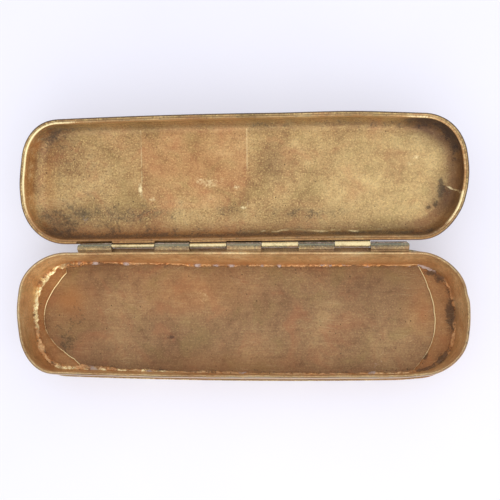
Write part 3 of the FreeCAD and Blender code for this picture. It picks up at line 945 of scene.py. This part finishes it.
def lid_inside_masks(points):
    """Patina inside the lid, shared by its floor, its rounded corner and its wall. Besides stains, grime and
    scratches it paints light: shade along the hinge side, partly dirt; a golden left end painted as the lit
    side and a brown right end in painted shade, both partly the brass's own colour; darker corners; and
    painted highlights on the right end's lap seam and lower wall.
    """
    x, y, z, _, depth = points.T
    far = smooth(38, 44, y)
    right, left = smooth(52, 70, x), smooth(-62, -74, x)
    seam = y - 18 - 0.5 * (depth - 1)  # distance from the wall's slanted end joint
    past_seam = smooth(-0.3, 0.3, seam)
    beyond = past_seam * right * smooth(7, 4, depth)
    below = (1 - past_seam) * right * smooth(8.5, 6, depth) * smooth(3, 8, y)
    # The golden left end's wall is painted brighter as the lit side, partly the brass's own colour.
    golden = smooth(3.6, 2.2, depth) * smooth(8, 15, y) * smooth(43, 38, y)
    patches = cloud(points, 7, 87)

    # Darker along the hinge side, partly dirt and partly painted shade; the right end's brown wall is partly
    # painted shade too.
    stain = 0.34 * smooth(9.5, 4, y) + 0.06 * smooth(7, 3.5, y) + 0.18 * beyond
    stain += 0.5 * right * hump(depth, 4.2, 4.8) * smooth(8, 16, y)
    stain += right * (0.25 * smooth(4, 2, depth) + 0.2 * smooth(3, 1.5, depth))
    stain += 0.36 * far * hump(depth, 4.5, 3.5) + 0.2 * left * hump(depth, 5.5, 5) * smooth(26, 36, y)
    stain += blobs(
        x, y, (0.26, -71, 41, 8, 6), (0.36, -70, 8, 9, 7), (0.5, 71, 41, 8, 6), (0.3, 70.6, 18, 3, 6),
        (0.3, 12, 29, 5, 6),
    )
    stain = np.clip(stain - 0.3 * left * smooth(4, 2, depth), 0, 0.9)
    stain += 0.22 * left * smooth(0.1, 0.6, patches) * smooth(9, 4, depth)
    stain += 0.34 * below * smooth(2.0, 3.0, depth)

    grime = 0.12 + 0.3 * smooth(8, 3.5, y) + 0.24 * far * hump(depth, 3.4, 2.2)
    grime += 0.55 * right * hump(depth, 3.2, 3.0) * hump(y, 36, 10)
    grime += 0.6 * smooth(3.4, 2.0, depth) * smooth(56, 64, x) * smooth(31, 37, y)
    grime += blobs(
        x, y, (0.38, -44, 11, 28, 4.5), (0.3, -70, 40, 9, 6), (0.2, -68, 9, 10, 7), (0.4, -4, 12.5, 5, 2.4),
        (0.42, 24, 11, 16, 3), (0.18, -60, 24, 20, 18), (0.2, 10, 43, 8, 2), (0.2, 50, 42, 20, 3),
        *[(0.8, *spot, 1.1, 1.5) for spot in RIGHT_SMUDGE],
    )

    copper = 0.6 * smooth(9, 3, y) * smooth(60, -40, x) - 0.25 * smooth(0, 60, x) * smooth(5, 9, depth)
    copper += left * (0.36 * golden * (1 + 0.5 * patches) + 0.16 * hump(depth, 8.5, 4))
    copper += 0.25 * below + 0.35 * beyond + blobs(x, y, (0.2, -18, 29, 22, 14))

    # Painted highlights on the lap seam, on the lower right wall and on the golden left end; the spots are
    # bright marks.
    shine = 0.3 * left * golden + 0.75 * right * hump(seam, 0, 0.7) * smooth(6.5, 5, depth)
    shine += 0.3 * right * (1 - past_seam) * smooth(3.0, 2.0, depth) * smooth(LID_RIM - 5, LID_RIM - 1.5, z)
    shine += blobs(
        x, y, (0.8, -37.4, 20.5, 0.8, 3.0), (0.46, -12, 22.5, 7, 2.6), (0.6, -1.6, 21.0, 1.4, 0.8),
        (0.7, 1, 13.3, 2.0, 0.7), (0.55, -33, 16.8, 2.4, 0.9), (0.42, 64, 31, 5, 0.7),
        (0.36, 61, 28.5, 5, 0.6),
    )
    ash = blobs(x, y, (0.4, -58.6, 9, 2.2, 1.8))
    return {"stain": stain, "grime": grime, "shine": shine, "copper": copper, "ash": ash}


def lid_wave(points):
    """Unevenness of the lid's hammered sheet, none at its edge."""
    level = points * (1, 1, 0, 1, 1)
    return smooth(2.0, 7, points[:, 4]) * (0.16 * cloud(level, 30, 61) + 0.03 * cloud(level, 8, 62))


def lid_plate():
    points, faces = welded(*woven(plate_grid(LID_FLOOR, LID_UNDER, LID_LIP), wrap_rows=False))
    points = lid_local(warped(points, LID_SWELLS, lid_hinge_gap, share=0.4))
    points[:, 0] = np.clip(points[:, 0], lid_plate_low[0], lid_plate_high[0])
    upper = points[:, 2] > LID_FLOOR - 0.01
    under = points[:, 2] < LID_UNDER + 0.01
    wave = lid_wave(points)
    points[:, 2] += np.where(upper, wave, 0)
    points[:, 2] += np.where(under, 0.12 * smooth(2.0, 7, points[:, 4]) + wave * 0.6, 0)
    masks = plate_masks(points, upper, lid_inside_masks(points))
    make_piece("lid_sheet", points, faces, "lid", "lid_plate", LID_FLOOR_BRASS, masks)


def lid_band():
    q = stations(0.6, NOTCH_MARKS)
    section = [(0.0, BAND_FOOT + 0.1), (0.0, BAND_FOOT + 1), (0.0, -2.0), (0.0, -1.0)]
    section += [(0.03, LID_RIM - 0.4), (0.12, LID_RIM - 0.12), (0.3, LID_RIM - 0.02), (0.55, LID_RIM)]
    section += [(0.8, LID_RIM - 0.02), (0.97, LID_RIM - 0.12), (BAND, LID_RIM - 0.5)]
    section += [(BAND, BAND_FOOT), (0.1, BAND_FOOT)]
    points, faces = woven(np.stack([ring(q, depth, height) for depth, height in section]), wrap_rows=True)
    x, v, z, _, depth = points.T
    end_cut = (x > KNUCKLE_EDGES[0] - END_CUT - 0.01) & (x < KNUCKLE_EDGES[0])
    notch = (in_knuckles(x, odd=False) | end_cut) & (v < 5) & (z > LID_RIM - 1.8) & (depth < BAND + 0.005)
    warped(points, LID_SWELLS, lid_hinge_gap)
    points[:, 1] = np.where(notch, np.maximum(v, 0.42 + 0.05 * depth), v)
    points = lid_local(points)
    points[:, 2] += smooth(LID_RIM - 1, LID_RIM, z) * (0.04 * cloud(points, 14, 71) - 0.03)
    y = points[:, 1]
    top = smooth(LID_RIM - 0.7, LID_RIM - 0.3, z)
    # The bright line at both ends of the rim is a painted highlight, and the dark outer half of the rim top
    # is painted shade.
    ends_highlight = 0.3 * smooth(-50, -70, x) + 0.2 * smooth(50, 70, x)
    dark_edge = (0.95 - 0.7 * smooth(5, 3, y)) * top * smooth(0.42, 0.2, depth)
    masks = {
        "stain": 0.8 * top * smooth(0.55, 0.3, depth) + 0.1,
        "grime": dark_edge + 0.16 + 0.3 * smooth(BAND_FOOT + 0.8, BAND_FOOT, z),
        "shine": smooth(0.4, 0.7, depth) * ends_highlight + 0.12 * (1 - top),
        "copper": 0.35 * smooth(6, 2, y - LID_BACK),
    }
    make_piece(
        "lid_band", points, faces, "lid", "lid_rim_band", BAND_BRASS, masks,
        place=rolled_out(points),
    )


def lid_wall():
    """The lid's wall strip, whose two ends meet at a slant at the right end of the tray."""
    seam_q = float(q_of(np.array(79.0), np.array(18.0)))
    gap = 0.12
    seam_slope = math.tan(math.radians(35))
    columns = 620
    q = seam_q + gap / 2 + np.linspace(0, LOOP - gap, columns)
    outer, inner = BAND + 0.01, BAND + LID_WALL
    heights = np.linspace(LID_FLOOR, LID_RIM - 0.9, 8)
    section = [(outer, height) for height in heights]
    section += [(outer, LID_RIM - 0.4), (outer + 0.06, LID_RIM - 0.12)]
    section += [(outer + 0.22, LID_RIM - 0.02), (outer + 0.42, LID_RIM - 0.03)]
    section += [(inner - 0.12, LID_RIM - 0.14), (inner - 0.02, LID_RIM - 0.34)]
    section += [(inner, height) for height in heights[::-1]]
    middle = (LID_FLOOR + LID_RIM) / 2
    near_seam = smooth(24, 0, np.minimum(np.abs(q - q[0]), np.abs(q - q[-1])))
    rows = [ring(q - seam_slope * (height - middle) * near_seam, depth, height) for depth, height in section]
    points, faces = woven(np.stack(rows), wrap_rows=True, wrap_columns=False)
    points = lid_local(warped(points, LID_SWELLS, lid_hinge_gap))
    x, y, z, _, depth = points.T
    outside = {"stain": 0.25, "grime": 0.25, "shine": 0.05, "copper": 0.1, "ash": 0.0}
    masks = lid_inside_masks(points)
    masks = {key: np.where(depth < BAND + 0.1, outside[key], masks[key]) for key in MASKS}
    # The bright rim at both ends is a painted highlight, partly wear; elsewhere the rim top is darker.
    rim = smooth(LID_RIM - 0.8, LID_RIM - 0.2, z)
    ends = smooth(50, 66, np.abs(x)) * smooth(6, 14, y)
    worn_and_lit = 1 - 0.5 * smooth(60, 70, x) * smooth(8, 18, y)
    worn_and_lit *= 1 - 0.6 * smooth(-60, -70, x) * smooth(26, 14, y)
    masks["stain"] = masks["stain"] * (1 - 0.7 * rim) + 0.42 * rim * (1 - ends)
    masks["grime"] = masks["grime"] * (1 - rim) + 0.34 * rim * (1 - ends)
    masks["shine"] += 0.68 * rim * ends * worn_and_lit
    make_piece(
        "lid_strip", points, faces, "lid", "lid_wall", LID_WALL_BRASS, masks,
        place=rolled_out(points),
    )


def lid_fillet():
    """Solder run out smooth, so that the lid's wall flows into its floor."""
    q = stations(0.7)
    _, across, _ = stadium(q)
    uneven = cloud(ring(q, 1.8, 0.0), 14, 81)
    wide = (4.0 + 2.2 * np.maximum(across, 0) + 1.6 * np.maximum(-across, 0)) * (1 + 0.1 * uneven)
    high = (5.6 + 1.2 * np.abs(across)) * (1 + 0.06 * uneven)
    inner = BAND + LID_WALL
    rows = []
    for turn in np.linspace(0, math.pi / 2, 16):
        height = LID_FLOOR + high * (1 - math.sin(turn)) + 0.01
        rows.append(bead_row(q, inner, wide * (1 - math.cos(turn)), height))
    last = rows[-1].copy()
    last[:, 2] = LID_FLOOR - 0.15
    back = ring(q, inner - 0.1, LID_FLOOR - 0.15)
    top = rows[0].copy()
    top[:, :2] = back[:, :2]
    points, faces = woven(np.stack(rows + [last, back, top]), wrap_rows=True)
    lift = points[:, 2] - LID_FLOOR
    points[:, 2] += np.where(lift > -0.1, 0.07 * smooth(0, 1.5, lift) * cloud(points, 4, 83, 3), 0)
    points = lid_local(warped(points, LID_SWELLS, lid_hinge_gap))
    points[:, 2] += lid_wave(points)
    x, y, _, _, depth = points.T
    masks = lid_inside_masks(points)
    # A bright run of solder along the hinge side's corner.
    run = hump(depth, 3.6 + 0.5 * cloud(points, 6, 85), 0.8)
    run *= smooth(9, 4, y) * smooth(-10, 16, x) * smooth(58, 46, x)
    masks["shine"] += 0.62 * run * smooth(-0.6, 0.2, cloud(points * (0.4, 1, 1, 1, 1), 2, 86))
    masks["copper"] -= 0.5 * run
    # Darker along the hinge side's corner, partly dirt and partly painted shade.
    masks["grime"] += 0.3 * smooth(8, 3, y) * hump(depth, 2.4, 1.0)
    make_piece(
        "lid_solder_fillet", points, faces, "lid", "lid_solder", LID_FLOOR_BRASS, masks,
        sharp=70,
    )


# ---- hinge ----


END_SHADE_REACH = 0.16  # painted shade of the gaps reaches this far in from the ends of a knuckle
SHOULDER = -1.7  # height, from the hinge line, at which a leaf's straight part ends
NARROWED = 0.38  # how much of a knuckle's width is filed away on the side towards the other tray
END_REACH = 3.0  # length over which the hinge's outermost ends are slanted or rounded


def leaf_section(foot, seam_turn, ledge):
    """Cross-section of a leaf in three parts, as (e, h) points: its outside, its rolled knuckle, its inside.

    e is the distance from the tray's wall towards the other tray and h the height above the hinge line.
    ledge is how much solder thickens the straight part's top, and seam_turn (degrees) where the roll's end
    shows as a groove.
    """
    bore = PIN + 0.1
    outside = [(0.0, foot), (0.0, (foot + SHOULDER) / 2), (0.0, SHOULDER)]
    roll = [(0.0, SHOULDER / 2), (0.0, -0.2), (0.02, -0.06), (0.6, -0.05), (0.12, 0.45)]
    for degrees in np.arange(150, -150, -10):
        radius = ROLL - (0.16 if abs(degrees - seam_turn) < 1 else 0.0)
        turn = math.radians(degrees)
        roll.append((ROLL + radius * math.cos(turn), radius * math.sin(turn)))
    for turn in np.radians(np.arange(-150, 181, 15)):
        roll.append((ROLL + bore * math.cos(turn), bore * math.sin(turn)))
    roll.append((LEAF, SHOULDER / 2))
    inside = [(LEAF + ledge, SHOULDER), (LEAF, (foot + SHOULDER) / 2), (LEAF, foot)]
    return outside, roll, inside


def hinge_leaf(name, body, node, foot, to_local, masks_of, seam_turn=math.inf, tongue=0.0, ledge=0.0):
    """Leaf strip with its knuckles rolled from the same sheet."""
    outside, roll, inside = leaf_section(foot, seam_turn, ledge)
    section = outside + roll + inside
    count = len(section)
    first, last = len(outside) - 1, len(outside) + len(roll)
    odd = int(body == "lid")
    spans = [
        (start + KNUCKLE_GAP / 2, stop - KNUCKLE_GAP / 2)
        for start, stop in list(zip(KNUCKLE_EDGES, KNUCKLE_EDGES[1:]))[odd::2]
    ]
    low, high = KNUCKLE_EDGES[odd], KNUCKLE_EDGES[-1 - odd]
    marks = {low, high, *np.linspace(low, high, 60)}
    for start, stop in spans:
        marks |= {start + END_SHADE_REACH, stop - END_SHADE_REACH, *np.linspace(start, stop, 12)}
    xs = sorted({round(float(mark), 4) for mark in marks})
    if tongue:
        xs += [high + tongue * share for share in (0.02, 0.25, 0.5, 0.75, 0.92, 1.0)]
    points = np.array([(x, e, h) for x in xs for e, h in section])

    def in_span(x):
        return any(start - 1e-3 <= x <= stop + 1e-3 for start, stop in spans)

    straight = list(range(0, first + 1)) + list(range(last, count))
    faces = []
    for index, (x, beside) in enumerate(zip(xs, xs[1:])):
        here, there = index * count, (index + 1) * count
        rolled = in_span(x) and in_span(beside) and in_span((x + beside) / 2)
        loop = list(range(count)) if rolled else straight
        for one, two in zip(loop, loop[1:] + loop[:1]):
            faces.append((here + one, here + two, there + two, there + one))
    # End faces of each knuckle and of the leaf.
    for x in np.ravel(spans):
        base = xs.index(round(float(x), 4)) * count
        faces.append([base + part for part in range(first, last + 1)])
    for index in (0, len(xs) - 1):
        faces.append([index * count + part for part in straight])

    x, e, h = points.T
    # The left end is cut at a slant, the right-hand knuckle's far corner is rounded and the tongue tapers.
    # The base's first knuckle narrows towards its left end, and the lid's knuckles are narrow all along.
    outer_half = smooth(ROLL, 2 * ROLL, e)
    outer_face = np.hypot(e - ROLL, h) > ROLL - 0.05
    slant = np.clip(1 - (x - low) / END_REACH, 0, 1)
    x = x + slant * (0.35 * (e - ROLL) / ROLL + 1.1 * outer_half)
    round_off = smooth(high - END_REACH, high, x) * (x <= high + 0.01) * (h > SHOULDER)
    x = x - round_off * 0.9 * outer_half
    narrow = 1.0 if odd else smooth(KNUCKLE_EDGES[1], low, x)
    e = e - np.where(outer_face, NARROWED * narrow * outer_half, 0)
    if tongue:
        drop = np.clip((x - high) / tongue, 0, 1)
        h = np.where((h >= SHOULDER - 0.01) & (drop > 0), h - 0.5 - 1.9 * drop, h)
        e = np.where(drop > 0, np.minimum(e, LEAF * (1 - 0.5 * drop)), e)
    points = np.concatenate([to_local(np.stack([x, e, h], axis=1)), e[:, None], h[:, None]], axis=1)
    used = sorted({corner for face in faces for corner in face})
    renumber = {old: new for new, old in enumerate(used)}
    faces = [[renumber[corner] for corner in face] for face in faces]
    points = points[used]
    masks = masks_of(points)
    piece = make_piece(name, points, faces, body, node, HINGE_BRASS, masks, sharp=35)
    bevel = piece.modifiers.new("worn_edges", "BEVEL")
    bevel.width = 0.09 * MM
    bevel.segments = 2
    bevel.limit_method = "ANGLE"
    bevel.angle_limit = math.radians(50)


LID_REST = -0.3  # how far behind the hinge side's outline the base's knuckles may swell


def base_leaf_local(points):
    x, e, h = points.T
    away = e - np.clip(1 - e / ROLL, 0, 1) * base_hinge_gap(x)
    # The closed lid's rim rests just behind this line, so only the flat solder below it goes further back.
    away = np.where(h > 0, np.maximum(away, LID_REST), away)
    return np.stack([x, BACK_Y + away, PIVOT[2] + h], axis=1)


def lid_leaf_local(points):
    x, e, h = points.T
    away = e - np.clip(1 - e / ROLL, 0, 1) * lid_hinge_gap(x)
    return np.stack([x, LID_BACK - away, h], axis=1)


# Painted shade in the gaps between the knuckles.
def dark_ends(points):
    """1 at the ends of each knuckle, 0 from END_SHADE_REACH inwards."""
    nearest = np.min(np.abs(points[:, :1] - np.array(KNUCKLE_EDGES)), axis=1) - KNUCKLE_GAP / 2
    return smooth(END_SHADE_REACH, 0, nearest) * (points[:, 4] > -ROLL)


def base_leaf_masks(points):
    e, h = points[:, 3:].T
    top = h > 0
    ledge = (h < 0) & (h > -1.9)
    # The dark line along the far side is painted shade of the gap, and the violet band beside it is a
    # painted reflection of the backdrop.
    return {
        "stain": top * 0.3 * hump(e, 1.75, 0.3) + 0.12,
        "grime": top * 0.9 * smooth(2.15, 2.35, e) + 0.12 + 0.8 * dark_ends(points) * smooth(0.6, 1.0, e),
        "shine": 0.16 * (top | ledge) * smooth(1.1, 0.5, e),
        "copper": 0.2 * top * smooth(1.1, 0.6, e) + 0.35 * ledge,
        "ash": top * (0.7 * hump(e, 1.98, 0.34) - 0.7 * hump(e, 1.4, 0.42)),
    }


def lid_leaf_masks(points):
    e, h = points[:, 3:].T
    top = h > 0
    # The pale yellow band nearest the lid is a painted highlight, the lilac band further out paints light
    # onto the shaded far half, and the dark far edge is painted shade of the gap.
    return {
        "stain": 0.3 * hump(e, 1.65, 0.3) * top,
        "grime": 0.8 * smooth(2.3, 2.45, e) + 0.1 + 0.8 * dark_ends(points),
        "shine": 0.68 * smooth(1.5, 1.0, e) * top,
        "copper": -0.6 * smooth(1.6, 1.1, e) * top,
        "ash": 0.9 * hump(e, 2.05, 0.3) * top,
    }


def hinge():
    hinge_leaf(
        "base_knuckles", "base", "base_hinge_leaf", leaf_low[2] - PIVOT[2], base_leaf_local, base_leaf_masks,
        seam_turn=90, tongue=leaf_high[0] - KNUCKLE_EDGES[-1], ledge=0.4,
    )
    hinge_leaf("lid_knuckles", "lid", "lid_hinge_leaf", lid_leaf_low[2], lid_leaf_local, lid_leaf_masks)


def pin():
    """Hinge wire, slightly bent, with both ends domed by hammering."""
    low, high = pin_low[0], pin_high[0]
    xs = np.linspace(low, high, 80)
    xs = np.concatenate([[low, low + 0.03, low + 0.12], xs[1:-1], [high - 0.12, high - 0.03, high]])
    turns = np.linspace(0, 2 * math.pi, 16, endpoint=False)
    rows = []
    for x in xs:
        near_end = min(x - low, high - x)
        radius = PIN * math.sqrt(max(0.02, 1 - max(0, 1 - near_end / 0.3) ** 2))
        middle_z = PIVOT[2] + 0.02 * math.sin(x / 9)
        y, z = PIVOT[1] + radius * np.cos(turns), middle_z + radius * np.sin(turns)
        rows.append(np.stack([np.full(len(turns), x), y, z], axis=1))
    points, faces = woven(np.stack(rows), wrap_rows=False)
    faces.append(list(range(len(turns))))
    faces.append(list(range(len(points) - len(turns), len(points))))
    masks = {"grime": np.full(len(points), 0.3)}
    make_piece("wire_pin", points, faces, "base", "hinge_pin", WIRE_BRASS, masks)


# ---- stage ----


def stage():
    shader = Shader("backdrop")
    position = shader.add("ShaderNodeNewGeometry", 0)
    grain = shader.noise(position, 0.12, 3.0, 0.5)
    colour = shader.ramp(grain, [(190, 189, 197), (195, 194, 200)])
    glow = {"Emission Color": tone(236, 236, 246), "Emission Strength": 0.44}
    shader.finish(**{"Base Color": colour, "Roughness": 0.85, **glow})
    bpy.ops.mesh.primitive_plane_add(size=6.0, location=(0, 0, -0.0001))
    floor = bpy.context.object
    floor.name = "studio_floor"
    floor.data.materials.append(shader.material)


def softbox(name, place, aim, size, power, colour=(1, 1, 1)):
    data = bpy.data.lights.new(name, "AREA")
    data.shape = "RECTANGLE"
    data.size, data.size_y = size
    data.energy = power
    data.color = colour
    lamp = bpy.data.objects.new(name, data)
    lamp.location = place
    lamp.rotation_euler = (Vector(aim) - Vector(place)).to_track_quat("-Z", "Y").to_euler()
    bpy.context.scene.collection.objects.link(lamp)


def lights():
    world = bpy.data.worlds.new("studio")
    world.use_nodes = True
    background = world.node_tree.nodes["Background"]
    background.inputs["Color"].default_value = (0.93, 0.94, 1.0, 1.0)
    background.inputs["Strength"].default_value = 1.0
    bpy.context.scene.world = world
    softbox("key", (0.3, -0.6, 0.6), (0, -0.05, 0), (1.2, 0.8), 3.6)


def camera():
    data = bpy.data.cameras.new("camera")
    data.sensor_width = 36.0
    data.lens = 56.45
    data.shift_y = -0.002
    data.clip_start = 0.01
    eye = bpy.data.objects.new("camera", data)
    eye.location = (0.02612, -0.02511, 0.29042)
    eye.rotation_euler = [math.radians(turn) for turn in (9.926, 4.525, 0.557)]
    bpy.context.scene.collection.objects.link(eye)
    bpy.context.scene.camera = eye


camera()
base_plate()
base_wall()
base_bead()
crescents()
lid_plate()
lid_wall()
lid_band()
lid_fillet()
hinge()
pin()
stage()
lights()
bpy.context.scene.view_settings.view_transform = "Standard"
